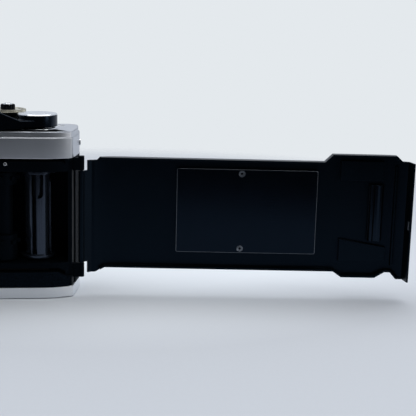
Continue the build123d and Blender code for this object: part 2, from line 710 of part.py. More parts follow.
spool_low, spool_high = chamber_low + 0.8, chamber_high - 0.8
spool_core = 2.6
with BuildPart() as take_up_spool:
    with BuildSketch(level(spool_low, hub_x, hub_y)):
        Circle(spool_radius)
        Circle(spool_radius - 1.4, mode=Mode.SUBTRACT)
    extrude(amount=spool_high - spool_low)
    with BuildSketch(level(spool_low + 1.5, hub_x, hub_y)):
        with PolarLocations(spool_radius, 5, 40):
            Rectangle(6, 2.2)
    extrude(amount=spool_high - spool_low - 6.5, mode=Mode.SUBTRACT)
    with BuildSketch(facing(hub_y - spool_core - 0.1, x=hub_x, z=spool_high)):
        RectangleRounded(5, 24, 2)
    extrude(amount=spool_radius, mode=Mode.SUBTRACT)
    with BuildSketch(level(spool_low, hub_x, hub_y)):
        Circle(spool_core)
    extrude(amount=spool_high - spool_low)
    for low in (spool_low, spool_high - 1.2):
        with BuildSketch(level(low, hub_x, hub_y)):
            Circle(spool_radius + 1.6)
        extrude(amount=1.2)
    with BuildSketch(level(chamber_low - 3.8, hub_x, hub_y)):
        Circle(spigot_radius)
    extrude(amount=5)
    with BuildSketch(level(spool_high, hub_x, hub_y)):
        Circle(shaft_radius)
    extrude(amount=cover_line - spool_high)
save(take_up_spool.part, "take_up_spool")

tooth_count = 8
tooth_width = 1.6
perforation_gap = 28.2
with BuildPart() as sprocket:
    with BuildSketch(level(spool_low, sprocket_x, sprocket_y)):
        Circle(sprocket_radius)
    extrude(amount=spool_high - spool_low)
    with BuildSketch(level(axis_height - 11, sprocket_x, sprocket_y)):
        Circle(sprocket_radius + 1)
        Circle(sprocket_radius - 1.8, mode=Mode.SUBTRACT)
    extrude(amount=22, mode=Mode.SUBTRACT)
    for side in (-1, 1):
        tooth_low = axis_height + side * perforation_gap / 2 - tooth_width / 2
        with BuildSketch(level(tooth_low, sprocket_x, sprocket_y)):
            with PolarLocations(sprocket_radius, tooth_count):
                Rectangle(2 * tooth_height, tooth_width)
        extrude(amount=tooth_width)
    with BuildSketch(level(chamber_low - 3.8, sprocket_x, sprocket_y)):
        Circle(spigot_radius)
    extrude(amount=cover_line - chamber_low + 3)
save(sprocket.part, "sprocket")

disc_low = deck_height - 2.3
with BuildPart() as counter_disc:
    with BuildSketch(level(disc_low, counter_x, counter_y)):
        Circle(window_radius + 1)
    extrude(amount=0.7)
    with BuildSketch(level(cover_line - 3.6, counter_x, counter_y)):
        Circle(counter_shaft_radius)
    extrude(amount=disc_low + 0.1 - cover_line + 3.6)
save(counter_disc.part, "counter_disc")

window_flange = 0.5          # cemented under the deck
with BuildPart() as counter_window:
    with BuildSketch(level(deck_height - wall, counter_x, counter_y)):
        Circle(window_radius)
    extrude(amount=wall)
    chamfer(counter_window.faces().sort_by(Axis.Z)[-1].edges(), 0.15)
    with BuildSketch(level(deck_height - wall - window_flange, counter_x, counter_y)):
        Circle(window_radius + 0.8)
    extrude(amount=window_flange)
save(counter_window.part, "counter_window")

# ---------------------------------------------------------------- speed dial and release
button_radius = 2.0
dial_bore = button_radius + run
grip_radius = 3.2
grip_high = dial_high + 2.0
with BuildPart() as speed_dial:
    with BuildSketch(facing(dial_y, x=dial_x)):
        with BuildLine():
            Polyline(
                (dial_bore, deck_height - 1.6), (dial_neck_radius, deck_height - 1.6),
                (dial_neck_radius, deck_height + 3), (dial_neck_radius + 1, deck_height + 3.4),
                (dial_radius, dial_high - 0.8), (dial_radius, dial_high), (grip_radius, dial_high),
                (grip_radius, grip_high), (dial_bore, grip_high), close=True)
        make_face()
    revolve(axis=Axis((dial_x, dial_y, 0), (0, 0, 1)))
save(speed_dial.part, "speed_dial")

button_high = grip_high + 0.4
cable_bore = 1.25            # tapping hole of a cable release
with BuildPart() as shutter_button:
    with BuildSketch(level(button_high - 8, dial_x, dial_y)):
        Circle(button_radius)
    extrude(amount=8)
    fillet(shutter_button.faces().sort_by(Axis.Z)[-1].edges(), 0.5)
    with BuildSketch(level(button_high - 4, dial_x, dial_y)):
        Circle(cable_bore)
    extrude(amount=5, mode=Mode.SUBTRACT)
    with BuildSketch(level(cover_line - 1.2, dial_x, dial_y)):
        Circle(release_pin_radius)
    extrude(amount=button_high - 8 - cover_line + 1.2)
save(shutter_button.part, "shutter_button")

# ---------------------------------------------------------------- rewind and latch
knob_low = deck_height + 0.6
latch_hook_low = latch_slot_low + 8.4
with BuildPart() as latch_bar:
    add(box_between(latch_slot_x - 2.3, latch_slot_x - 0.3, latch_y - 4.3, latch_y - 0.9,
                    latch_slot_low + 0.5, cover_line - 4.8))
    add(box_between(latch_slot_x - 2.8, latch_slot_x - 2.3, latch_y - 3.4, latch_y - 1.6,
                    latch_hook_low, latch_hook_low + 2))
save(latch_bar.part, "latch_bar")

fork_radius = 2.4
with BuildPart() as rewind_shaft:
    with BuildSketch(level(cassette_high + 0.6, rewind_x, rewind_y)):
        Circle(shaft_radius)
    extrude(amount=knob_low - cassette_high - 0.6)
    with BuildSketch(level(cassette_high - 5.5, rewind_x, rewind_y)):
        Circle(fork_radius)
    extrude(amount=6.1)
    add(box_between(rewind_x - fork_radius, rewind_x + fork_radius, rewind_y - 0.6, rewind_y + 0.6,
                    cassette_high - 8, cassette_high - 5.5))
save(rewind_shaft.part, "rewind_shaft")

knob_high = knob_low + 4.6
crank_width = 5.2
with BuildPart() as rewind_knob:
    with BuildSketch(level(knob_low, rewind_x, rewind_y)):
        Circle(rewind_radius)
    extrude(amount=knob_high - knob_low)
    chamfer(rewind_knob.faces().sort_by(Axis.Z)[-1].edges(), 0.6)
    add(box_between(rewind_x - rewind_radius + 1.4, rewind_x + rewind_radius - 1.4,
                    rewind_y - crank_width / 2 - 0.4, rewind_y + crank_width / 2 + 0.4,
                    knob_high - 1.8, knob_high + 1), mode=Mode.SUBTRACT)
save(rewind_knob.part, "rewind_knob")

crank_axis_x = rewind_x + rewind_radius - 3.4
crank_low = knob_high - 1.1
crank_thickness = 1.2
with BuildPart() as rewind_crank:
    add(box_between(rewind_x - rewind_radius + 2.4, crank_axis_x + 1.0,
                    rewind_y - crank_width / 2, rewind_y + crank_width / 2,
                    crank_low, crank_low + crank_thickness))
    with BuildSketch(level(knob_high, rewind_x - rewind_radius + 4.8, rewind_y)):
        Circle(2.4)
    extrude(amount=2.6)
    fillet(rewind_crank.faces().sort_by(Axis.Z)[-1].edges(), 0.6)
    with BuildSketch(facing(rewind_y + crank_width, x=crank_axis_x, z=crank_low + crank_thickness / 2)):
        Circle(0.35)
    extrude(amount=2 * crank_width, mode=Mode.SUBTRACT)
save(rewind_crank.part, "rewind_crank")

# ---------------------------------------------------------------- fittings
shoe_gap = 18.8
shoe_half = shoe_gap / 2 + 1.6
shoe_back, shoe_front = -8.5, 9.0
shoe_floor = hump_height + 0.8
lip_low = shoe_floor + 2.2
lip_high = lip_low + 0.9
with BuildPart() as accessory_shoe:
    add(box_between(-shoe_half, shoe_half, shoe_back, shoe_front, hump_height, shoe_floor))
    for side in (-1, 1):
        near, far = sorted((side * shoe_gap / 2, side * shoe_half))
        add(box_between(near, far, shoe_back, shoe_front, shoe_floor, lip_high))
        lip_near, lip_far = sorted((side * 6.6, side * shoe_half))
        add(box_between(lip_near, lip_far, shoe_back, shoe_front, lip_low, lip_high))
save(accessory_shoe.part, "accessory_shoe")

with BuildPart() as tripod_bush:
    with BuildSketch():
        Circle(bush_face_radius)
    extrude(amount=wall)
    with BuildSketch(level(wall)):
        Circle(bush_flange_radius)
    extrude(amount=bush_depth + 2 - wall)
    with BuildSketch():
        Circle(bush_radius)
    extrude(amount=bush_depth, mode=Mode.SUBTRACT)
save(tripod_bush.part, "tripod_bush")

with BuildPart() as battery_cover:
    with BuildSketch(level(0.1, battery_x)):
        Circle(battery_radius)
    extrude(amount=wall - 0.1)
    with BuildSketch(level(wall, battery_x)):
        Circle(battery_boss)
    extrude(amount=2.2)
    add(box_between(battery_x - 7, battery_x + 7, -0.7, 0.7, 0, 0.6), mode=Mode.SUBTRACT)
save(battery_cover.part, "battery_cover")

with BuildPart() as rewind_button:
    with BuildSketch(level(0.2, sprocket_x, sprocket_y)):
        Circle(button_pin_radius)
    extrude(amount=3.4)
save(rewind_button.part, "rewind_button")

timer_arm = 19.0
with BuildPart() as self_timer_lever:
    with BuildSketch(facing(front_y + 4.2)):
        with Locations((timer_x, timer_z)):
            Circle(4.6)
        with Locations((timer_x, timer_z + timer_arm / 2)):
            Rectangle(4.4, timer_arm)
    extrude(amount=3.4)
    with BuildSketch(facing(front_y + 0.9)):
        with Locations((timer_x, timer_z)):
            Circle(front_pin_radius)
    extrude(amount=4.9)
    chamfer(self_timer_lever.faces().sort_by(Axis.Y)[-1].edges(), 0.4)
save(self_timer_lever.part, "self_timer_lever")

with BuildPart() as lens_release:
    with BuildSketch(facing(front_y + 4.0)):
        with Locations((release_x, release_z)):
            Circle(release_radius)
    extrude(amount=1.8)
    with BuildSketch(facing(front_y + 2.3)):
        with Locations((release_x, release_z)):
            Circle(front_pin_radius)
    extrude(amount=5.5)
    fillet(lens_release.faces().sort_by(Axis.Y)[-1].edges(), 0.5)
save(lens_release.part, "lens_release")

socket_x, socket_z = -50.0, 51.0
with BuildPart() as flash_socket:
    with BuildSketch(facing(front_y + 1.8)):
        with Locations((socket_x, socket_z)):
            Circle(3.1)
            Circle(2.0, mode=Mode.SUBTRACT)
    extrude(amount=1.8)
save(flash_socket.part, "flash_socket")

lug_x, lug_z = half - 10.0, cover_line + 4.9
with BuildPart() as strap_lugs:
    for side in (-1, 1):
        with BuildSketch(Plane.YZ.offset(side * lug_x - 0.8)):
            with Locations((front_y + 2.6, lug_z)):
                Circle(2.5)
            with Locations((front_y + 1.2, lug_z)):
                Rectangle(2.4, 5.4)
            with Locations((front_y + 2.6, lug_z)):
                Circle(1.3, mode=Mode.SUBTRACT)
        extrude(amount=1.6)
save(strap_lugs.part, "strap_lugs")

screw_head = 0.6
with BuildPart() as cover_screws:
    for x in (-screw_x, screw_x):
        for y in (-screw_y, screw_y):
            with BuildSketch(level(0.25, x, y)):
                Circle(screw_radius)
            extrude(amount=wall - 0.25)
            add(box_between(x - 1.2, x + 1.2, y - 0.2, y + 0.2, 0, 0.45), mode=Mode.SUBTRACT)
    for side in (-1, 1):
        with BuildSketch(Plane.YZ.offset(half if side > 0 else -half - screw_head)):
            with Locations((back_y + wide_from_back + 2.2, end_screw_z)):
                Circle(screw_radius)
        extrude(amount=screw_head)
save(cover_screws.part, "cover_screws")

with BuildPart() as hinge_lugs:
    for low, high in lug_spans:
        add(box_between(lug_root, hinge_x - 0.4, lug_near, lug_far, low, high))
    for low in (lug_spans[0][0], lug_spans[1][0]):
        with BuildSketch(level(low, hinge_x, hinge_y)):
            Circle(hinge_barrel_radius)
        extrude(amount=lug_height)
    with BuildSketch(level(0, hinge_x, hinge_y)):
        Circle(hinge_pin_radius)
    extrude(amount=body_length, mode=Mode.SUBTRACT)
save(hinge_lugs.part, "hinge_lugs")

with BuildPart() as hinge_pin:
    with BuildSketch(level(lug_bottom, hinge_x, hinge_y)):
        Circle(hinge_pin_radius)
    extrude(amount=lug_top - lug_bottom)
save(hinge_pin.part, "hinge_pin")

seal = 0.2
with BuildPart() as light_seals:
    for low in (door_low - fit + 0.1, door_high - door_skin - fit + 0.1):
        add(box_between(-half + 43, half - 13, rim_y + fit - seal, rim_y + fit, low, low + 1.1))
save(light_seals.part, "light_seals")

# ---------------------------------------------------------------- back door
knuckle_low, knuckle_high = lug_spans[1][1] + fit, lug_spans[0][0] - fit
leaf_reach = 2.0             # full-height strip beside the door's wall, clear of the lugs
arm_end = Vector(half - 3.0, back_y + end_bulge + 0.25, 0)
arm_reach = Vector(hinge_x, hinge_y, 0) - arm_end
arm_middle = arm_end + arm_reach / 2
arm_plane = level(knuckle_low, arm_middle.X, arm_middle.Y)
arm_angle = arm_reach.get_angle(Vector(1, 0, 0))
leaf_middle = arm_end + arm_reach.normalized() * leaf_reach / 2
leaf_low, leaf_high = 9.6, door_high - 1.3
with BuildPart() as back_door:
    with BuildSketch(level(base_height)):
        add(outline(door_leather, apron=False))
        add(outline(door_wall, apron=False), mode=Mode.SUBTRACT)
        add(door_zone(), mode=Mode.INTERSECT)
    extrude(amount=cover_line)
    with BuildSketch(facing(front_y)):
        add(door_profile())
    extrude(amount=2 * body_depth, mode=Mode.INTERSECT)
    with BuildPart(mode=Mode.PRIVATE) as rims:
        with BuildSketch(facing(rim_y)):
            add(door_profile())
            add(door_profile(-door_skin), mode=Mode.SUBTRACT)
            with Locations((-7, axis_height)):
                Rectangle(body_length, body_length, mode=Mode.INTERSECT)
        extrude(amount=door_depth + 1)
        with BuildSketch(level(0)):
            add(outline(door_leather, apron=False))
        extrude(amount=body_length, mode=Mode.INTERSECT)
    add(rims.part)
    with BuildSketch(arm_plane.rotated((0, 0, arm_angle))):
        Rectangle(arm_reach.length, door_skin)
    extrude(amount=knuckle_high - knuckle_low)
    with BuildSketch(level(leaf_low, leaf_middle.X, leaf_middle.Y).rotated((0, 0, arm_angle))):
        Rectangle(leaf_reach, door_skin)
    extrude(amount=leaf_high - leaf_low)
    with BuildSketch(level(knuckle_low, hinge_x, hinge_y)):
        Circle(hinge_barrel_radius)
    extrude(amount=knuckle_high - knuckle_low)
    with BuildSketch(level(0, hinge_x, hinge_y)):
        Circle(hinge_pin_radius + run)
    extrude(amount=body_length, mode=Mode.SUBTRACT)
    add(box_between(*upper_pad, door_inner - 0.2, door_inner + pad_height,
                    upper_pad_low, upper_pad_high))
    pad_left, pad_right = cassette_left + 1.1, cassette_right - 4.1
    with BuildSketch(facing(door_inner + pad_height + 0.4)):
        with BuildLine():
            Polyline((pad_right, cassette_low + 2.3), (pad_right, cassette_low + 12.4),
                     (pad_left, cassette_low + 9), (pad_left, cassette_low + 2.3), close=True)
        make_face()
    extrude(amount=pad_height + 0.6)
    add(box_between(latch_rib_x - latch_rib_thickness, latch_rib_x, door_inner + 0.8, rim_y,
                    cassette_low + 0.8, cassette_high + 0.3))
save(open_door(back_door.part), "back_door")

with BuildPart() as door_covering:
    with BuildSketch(level(base_height)):
        add(outline(0.05, apron=False))
        add(outline(door_leather, apron=False), mode=Mode.SUBTRACT)
        add(door_zone(), mode=Mode.INTERSECT)
        with Locations((-1.5, back_y)):
            Rectangle(body_length - 13, body_depth, mode=Mode.INTERSECT)
    extrude(amount=cover_line)
    with BuildSketch(facing(front_y)):
        add(door_profile(-0.8))
    extrude(amount=2 * body_depth, mode=Mode.INTERSECT)
save(open_door(door_covering.part), "door_covering")

plate_front = film_y - 0.1
rivet_x = plate_shift + 2.5
rivet_heights = (axis_height - plate_height / 2 + 2, axis_height + plate_height / 2 - 2)
rivet_radius = 1.2
with BuildPart() as pressure_plate:
    with BuildSketch(facing(plate_front)):
        with Locations((plate_shift, axis_height)):
            RectangleRounded(plate_width, plate_height, 0.8)
        with Locations(*[(rivet_x, z) for z in rivet_heights]):
            Circle(rivet_radius, mode=Mode.SUBTRACT)
    extrude(amount=plate_thickness)
save(open_door(pressure_plate.part), "pressure_plate")

with BuildPart() as plate_spring:
    spring_top = door_inner + 0.2
    add(box_between(plate_shift - 20, plate_shift + 20, door_inner, spring_top,
                    axis_height - 3, axis_height + 3))
    add(box_between(rivet_x - 3, rivet_x + 3, door_inner, spring_top, *rivet_heights))
save(open_door(plate_spring.part), "plate_spring")

with BuildPart() as plate_rivets:
    with BuildSketch(facing(plate_front)):
        with Locations(*[(rivet_x, z) for z in rivet_heights]):
            Circle(rivet_radius)
            Circle(rivet_radius / 2, mode=Mode.SUBTRACT)
    extrude(amount=plate_thickness)
save(open_door(plate_rivets.part), "plate_rivets")

spring_left = cassette_left + 3.1
spring_right = spring_left + 6.4
spring_low = cassette_low + 11.8
spring_length = 25.4
with BuildPart() as cassette_spring:
    with BuildSketch(level(spring_low)):
        with BuildLine():
            Polyline((spring_left, door_inner + 1.0), (spring_left + 0.8, door_inner + 2.6),
                     (spring_left + 1.8, door_inner + 2.6), (spring_left + 2.6, door_inner + 1.9),
                     (spring_right - 2.6, door_inner + 1.9), (spring_right - 1.8, door_inner + 2.6),
                     (spring_right - 0.8, door_inner + 2.6), (spring_right, door_inner + 1.0), close=True)
        make_face()
    extrude(amount=spring_length)
    add(box_between(spring_left, spring_right, door_inner + 0.25, door_inner + 1.1,
                    spring_low, spring_low + spring_length))
save(open_door(cassette_spring.part), "cassette_spring")

with BuildPart() as latch_catch:
    add(box_between(-half, -half + 3.2, latch_y - 4.0, latch_y - 1.0,
                    latch_hook_low - 5.9, latch_hook_low - 1.9))
    with BuildSketch(level(0)):
        add(outline(door_wall, apron=False))
    extrude(amount=body_length, mode=Mode.INTERSECT)
save(open_door(latch_catch.part), "latch_catch")
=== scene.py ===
import json
import math

import bmesh
import bpy
from mathutils import Matrix, Vector

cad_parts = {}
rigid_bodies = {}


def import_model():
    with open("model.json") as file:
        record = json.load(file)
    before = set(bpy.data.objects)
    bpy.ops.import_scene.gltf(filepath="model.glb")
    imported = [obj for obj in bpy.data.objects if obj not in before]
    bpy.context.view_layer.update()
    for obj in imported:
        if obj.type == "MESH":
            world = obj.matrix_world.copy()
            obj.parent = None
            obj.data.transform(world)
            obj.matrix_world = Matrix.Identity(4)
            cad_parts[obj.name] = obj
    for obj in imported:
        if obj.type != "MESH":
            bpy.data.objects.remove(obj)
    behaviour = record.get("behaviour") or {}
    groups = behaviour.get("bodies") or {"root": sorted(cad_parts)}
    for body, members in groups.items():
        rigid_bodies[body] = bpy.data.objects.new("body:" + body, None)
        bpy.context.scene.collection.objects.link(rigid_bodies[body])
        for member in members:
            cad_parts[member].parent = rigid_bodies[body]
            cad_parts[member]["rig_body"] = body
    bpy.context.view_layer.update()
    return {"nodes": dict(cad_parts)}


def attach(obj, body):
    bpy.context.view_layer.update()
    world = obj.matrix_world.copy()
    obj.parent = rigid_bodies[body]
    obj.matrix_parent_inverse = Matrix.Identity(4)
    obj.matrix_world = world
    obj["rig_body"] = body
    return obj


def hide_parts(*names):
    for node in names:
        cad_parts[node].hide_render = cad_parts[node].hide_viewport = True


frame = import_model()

# ---- Body casting ------------------------------------------------------------------------------
# The real casting is die-cast aluminium under a stoved satin black lacquer. The film chambers
# are left as cast, so the lacquer lies over a faint orange peel, and handling thins it on edges.
MM = 0.001


def linear(hex_colour, alpha=1.0):
    """sRGB hex to the linear colour that a shader socket takes."""
    parts = [int(hex_colour[i:i + 2], 16) / 255 for i in (0, 2, 4)]
    parts = [c / 12.92 if c <= 0.04045 else ((c + 0.055) / 1.055) ** 2.4 for c in parts]
    return (*parts, alpha)


def add(tree, kind, inputs=None, **settings):
    """Adds a node with its settings; inputs are values, or output sockets to link from."""
    node = tree.nodes.new(kind)
    for name, value in settings.items():
        setattr(node, name, value)
    for key, value in (inputs or {}).items():
        if isinstance(value, bpy.types.NodeSocket):
            tree.links.new(value, node.inputs[key])
        else:
            node.inputs[key].default_value = value
    return node


def start_material(name, surface):
    """A material with one shader set to the surface values, and its place in millimetres."""
    material = bpy.data.materials.new(name)
    material.use_nodes = True
    tree = material.node_tree
    tree.nodes.clear()
    shader = add(tree, "ShaderNodeBsdfPrincipled", surface)
    add(tree, "ShaderNodeOutputMaterial", {"Surface": shader.outputs[0]})
    place = add(tree, "ShaderNodeTexCoord").outputs["Object"]
    scaled = add(tree, "ShaderNodeVectorMath", {0: place, "Scale": 1000.0}, operation="SCALE")
    return material, tree, shader, scaled.outputs[0]


def vary(tree, factor, shader, colours, roughness):
    """Lets one pattern move the colour and the roughness between two values."""
    shade = add(tree, "ShaderNodeMix", {0: factor, 6: linear(colours[0]), 7: linear(colours[1])},
                data_type="RGBA")
    gloss = add(tree, "ShaderNodeMapRange",
                {"Value": factor, "To Min": roughness[0], "To Max": roughness[1]})
    tree.links.new(shade.outputs[2], shader.inputs["Base Color"])
    tree.links.new(gloss.outputs[0], shader.inputs["Roughness"])


def emboss(tree, shader, pattern, strength, depth):
    """Lets a pattern raise the surface; the depth is in millimetres."""
    bump = add(tree, "ShaderNodeBump", {"Height": pattern.outputs[0], "Strength": strength,
                                        "Distance": depth * MM})
    tree.links.new(bump.outputs[0], shader.inputs["Normal"])


def eased(node, width, material, worn=None):
    """Stands in for a CAD node with its edges broken, and worn to another finish if one is given."""
    source = frame["nodes"][node]
    mesh = bpy.data.meshes.new(node + "_finished")
    shape = bmesh.new()
    shape.from_mesh(source.data)
    bmesh.ops.remove_doubles(shape, verts=shape.verts, dist=0.002 * MM)
    bmesh.ops.dissolve_limit(shape, angle_limit=math.radians(0.6), verts=shape.verts,
                             edges=shape.edges)
    for face in shape.faces:
        face.smooth = True
    shape.to_mesh(mesh)
    shape.free()
    mesh.materials.clear()
    mesh.materials.append(material)
    if worn:
        mesh.materials.append(worn)
    piece = bpy.data.objects.new(node + "_finished", mesh)
    bpy.context.scene.collection.objects.link(piece)
    edge = piece.modifiers.new("broken edges", "BEVEL")
    edge.width = width * MM
    edge.segments = 2
    edge.limit_method = "ANGLE"
    edge.angle_limit = math.radians(32)
    edge.use_clamp_overlap = False
    edge.material = 1 if worn else -1
    flats = piece.modifiers.new("flat faces stay flat", "WEIGHTED_NORMAL")
    flats.weight = 100
    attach(piece, source["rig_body"])
    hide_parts(node)
    return piece


def dress(node, material):
    """Gives a CAD node that stays as it is its finish."""
    for slot in frame["nodes"][node].material_slots:
        slot.material = material


def lacquer(name, colours, roughness, peel_depth, shine=0.1):
    """Stoved black lacquer over metal: soft gloss, slow shade changes, orange peel of 0.5 mm."""
    material, tree, shader, mm = start_material(name, {"IOR": 1.5, "Specular IOR Level": shine,
                                                      "Specular Tint": linear("a2ccff")})
    cloud = add(tree, "ShaderNodeTexNoise", {"Vector": mm, "Scale": 0.09, "Detail": 4.0})
    vary(tree, cloud.outputs[0], shader, colours, roughness)
    peel = add(tree, "ShaderNodeTexNoise", {"Vector": mm, "Scale": 2.0, "Detail": 2.0})
    emboss(tree, shader, peel, 0.5, peel_depth)
    return material


black_lacquer = lacquer("satin black stoved lacquer", ("020406", "05080b"), (0.48, 0.62), 0.02, 0.05)
eased("body_casting", 0.12, black_lacquer)


def turned(name, profile, centre, body, material, axis="Z", ribs=0, steps=96):
    """A piece turned on a lathe from a closed profile of (radius, height, rib depth) in mm."""
    steps = 4 * ribs if ribs else steps
    mesh = bpy.data.meshes.new(name)
    shape = bmesh.new()
    rings = []
    for step in range(steps):
        angle = 2 * math.pi * step / steps
        low = ribs and step % 4 > 1
        ring = []
        for radius, height, depth in profile:
            reach = radius - (depth if low else 0)
            across, up = reach * math.cos(angle), reach * math.sin(angle)
            spot = (across, up, height) if axis == "Z" else (across, height, up)
            ring.append(shape.verts.new((Vector(spot) + Vector(centre)) * MM))
        rings.append(ring)
    for step, ring in enumerate(rings):
        following = rings[(step + 1) % steps]
        for i in range(len(profile)):
            j = (i + 1) % len(profile)
            shape.faces.new((ring[i], ring[j], following[j], following[i]))
    bmesh.ops.remove_doubles(shape, verts=shape.verts, dist=0.001 * MM)
    bmesh.ops.recalc_face_normals(shape, faces=shape.faces)
    for face in shape.faces:
        face.smooth = True
    shape.to_mesh(mesh)
    shape.free()
    mesh.set_sharp_from_angle(angle=math.radians(33))
    mesh.materials.append(material)
    piece = bpy.data.objects.new(name, mesh)
    bpy.context.scene.collection.objects.link(piece)
    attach(piece, body)
    return piece


# ---- Film gate and light seals ----------------------------------------------------------------
# The gate plate and its rails are steel, ground along the film's path so that film slides on
# them. The seals are strips of black foam glued into the door's grooves.
def ground_metal(name, colours, roughness, along=(0.05, 6.0, 6.0), depth=0.004, strength=0.4):
    """Bare metal ground or brushed one way; lines a few tenths of a millimetre apart."""
    material, tree, shader, mm = start_material(name, {"Metallic": 1.0})
    stretched = add(tree, "ShaderNodeVectorMath", {0: mm, 1: along}, operation="MULTIPLY")
    lines = add(tree, "ShaderNodeTexNoise", {"Vector": stretched.outputs[0], "Scale": 1.0,
                                             "Detail": 3.0})
    vary(tree, lines.outputs[0], shader, colours, roughness)
    emboss(tree, shader, lines, strength, depth)
    return material


gate_steel = ground_metal("ground steel", ("5a5f66", "7d838b"), (0.22, 0.36))
eased("film_gate", 0.06, gate_steel)

material, tree, shader, mm = start_material("black foam", {"Roughness": 0.95, "Sheen Weight": 0.2})
cells = add(tree, "ShaderNodeTexVoronoi", {"Vector": mm, "Scale": 3.0})
# Painted shade: the foam's pits are coloured darker than the cell walls between them.
vary(tree, cells.outputs[0], shader, ("050505", "17181a"), (0.85, 1.0))
emboss(tree, shader, cells, 1.0, 0.15)
dress("light_seals", material)

# ---- Shutter, mirror box, mirror, finder ------------------------------------------------------
# The box is sprayed dead matt so that no stray light reaches the film. The mirror is silvered
# on its face, the screen is ground, and the prism and eyepiece are polished glass.
black_steel = ground_metal("blued steel", ("14161a", "23262c"), (0.28, 0.42))
for number in (1, 2, 3):
    dress(f"shutter_blade_{number}", black_steel)

material, tree, shader, mm = start_material("matt black spray", {"IOR": 1.4})
speckle = add(tree, "ShaderNodeTexNoise", {"Vector": mm, "Scale": 4.0, "Detail": 3.0})
vary(tree, speckle.outputs[0], shader, ("040404", "0e0f10"), (0.75, 0.95))
for node in ("mirror_box", "mirror_frame"):
    dress(node, material)

material, tree, shader, mm = start_material("front-silvered glass", {"Metallic": 1.0})
haze = add(tree, "ShaderNodeTexNoise", {"Vector": mm, "Scale": 0.2})
vary(tree, haze.outputs[0], shader, ("dfe3e6", "e9ecee"), (0.01, 0.04))
dress("reflex_mirror", material)


def glass(name, colours, roughness, specular="ffffff", ior=1.52):
    """Polished or ground optical glass; the faint haze is what wiping leaves."""
    material, tree, shader, mm = start_material(
        name, {"IOR": ior, "Transmission Weight": 1.0, "Specular Tint": linear(specular)})
    haze = add(tree, "ShaderNodeTexNoise", {"Vector": mm, "Scale": 0.3})
    vary(tree, haze.outputs[0], shader, colours, roughness)
    return material


ground_glass = glass("ground focusing screen", ("e6eae8", "f2f4f2"), (0.55, 0.65))
dress("focusing_screen", ground_glass)
optical_glass = glass("polished optical glass", ("f2f6f4", "fbfdfc"), (0.0, 0.03))
dress("pentaprism", optical_glass)
dress("eyepiece_glass", optical_glass)

material, tree, shader, mm = start_material("moulded black plastic", {"IOR": 1.49})
grain = add(tree, "ShaderNodeTexNoise", {"Vector": mm, "Scale": 5.0, "Detail": 4.0})
vary(tree, grain.outputs[0], shader, ("0b0b0d", "17181a"), (0.35, 0.5))
emboss(tree, shader, grain, 0.3, 0.02)
black_plastic = material
eased("eyepiece_frame", 0.3, black_plastic)

# ---- Leatherette ------------------------------------------------------------------------------
# Calendered vinyl cloth, glued round the body and over the door. Its pebbles are about 0.8 mm across
# with polished tops, and the valleys between them hold dull dust, which makes them rougher; the valleys
# are also painted darker than the tops, as painted shade.
material, tree, shader, mm = start_material("grained black leatherette", {
    "IOR": 1.48, "Specular IOR Level": 0.05, "Specular Tint": linear("a2ccff")})
pebbles = add(tree, "ShaderNodeTexVoronoi", {"Vector": mm, "Scale": 1.25, "Randomness": 1.0},
              feature="SMOOTH_F1")
creases = add(tree, "ShaderNodeTexNoise", {"Vector": mm, "Scale": 0.5, "Detail": 5.0})
relief = add(tree, "ShaderNodeMath", {0: pebbles.outputs[0], 1: creases.outputs[0]},
             operation="ADD")
# Painted shade: the colour darkens from the pebble tops into the valleys between them.
vary(tree, pebbles.outputs[0], shader, ("0b1219", "030507"), (0.6, 0.85))
emboss(tree, shader, relief, 0.9, -0.22)
dress("leatherette", material)
dress("door_covering", material)

# ---- Top and bottom covers --------------------------------------------------------------------
# Pressed brass, sand-blasted with fine grit, then plated: satin chrome with a grain of about
# 0.1 mm (drawn at 0.25 mm so that it shows), and slow changes of tone from hand polishing.
def satin_plate(name, colours, roughness, grain_size=0.25):
    material, tree, shader, mm = start_material(name, {"Metallic": 1.0})
    grit = add(tree, "ShaderNodeTexNoise", {"Vector": mm, "Scale": 1 / grain_size, "Detail": 2.0})
    tone = add(tree, "ShaderNodeTexNoise", {"Vector": mm, "Scale": 0.05, "Detail": 3.0})
    both = add(tree, "ShaderNodeMix", {0: 0.45, 2: tone.outputs[0], 3: grit.outputs[0]})
    vary(tree, both.outputs[0], shader, colours, roughness)
    emboss(tree, shader, grit, 0.35, 0.02)
    return material


satin_chrome = satin_plate("satin chrome on brass", ("a9adb4", "c9ccd1"), (0.30, 0.42))
pale_chrome = satin_plate("pale satin chrome", ("d9dce1", "f0f2f5"), (0.34, 0.46))
eased("bottom_cover", 0.15, pale_chrome)
eased("top_cover", 0.45, satin_chrome)

bright_chrome = satin_plate("polished chrome", ("c4c7cb", "e2e4e6"), (0.08, 0.16), 0.5)
for node in ("battery_cover", "rewind_button"):
    eased(node, 0.12, bright_chrome)
eased("cover_screws", 0.08, bright_chrome)

thread_profile = [(7.0, 0.8, 0), (7.0, 7.6, 0), (0.0, 7.6, 0), (0.0, 5.6, 0)]
thread_turns, thread_pitch = 4, 1.27
for turn in range(thread_turns, 0, -1):
    thread_profile += [(2.6, turn * thread_pitch, 0), (3.1, (turn - 0.5) * thread_pitch, 0)]
thread_profile += [(2.6, 0.0, 0), (5.0, 0.0, 0), (5.0, 0.8, 0)]
bush = turned("tripod_bush_threaded", thread_profile, (0, 0, 0), "camera_body",
              bright_chrome)
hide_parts("tripod_bush")

# ---- Frame counter ----------------------------------------------------------------------------
# A moulded disc under a cemented acrylic window; its figures are pad-printed in white. The
# shut door presses the polished steel pin in the body's back, and its spring resets the disc.
bright_pin = ground_metal("polished steel", ("d8dbdf", "eceef0"), (0.12, 0.2), (3.0, 3.0, 3.0), 0.002)
dress("counter_disc", black_plastic)
eased("counter_reset_pin", 0.05, bright_pin)
dress("counter_window", glass("moulded clear acrylic", ("f4f6f5", "fdfefe"), (0.01, 0.05), ior=1.49))


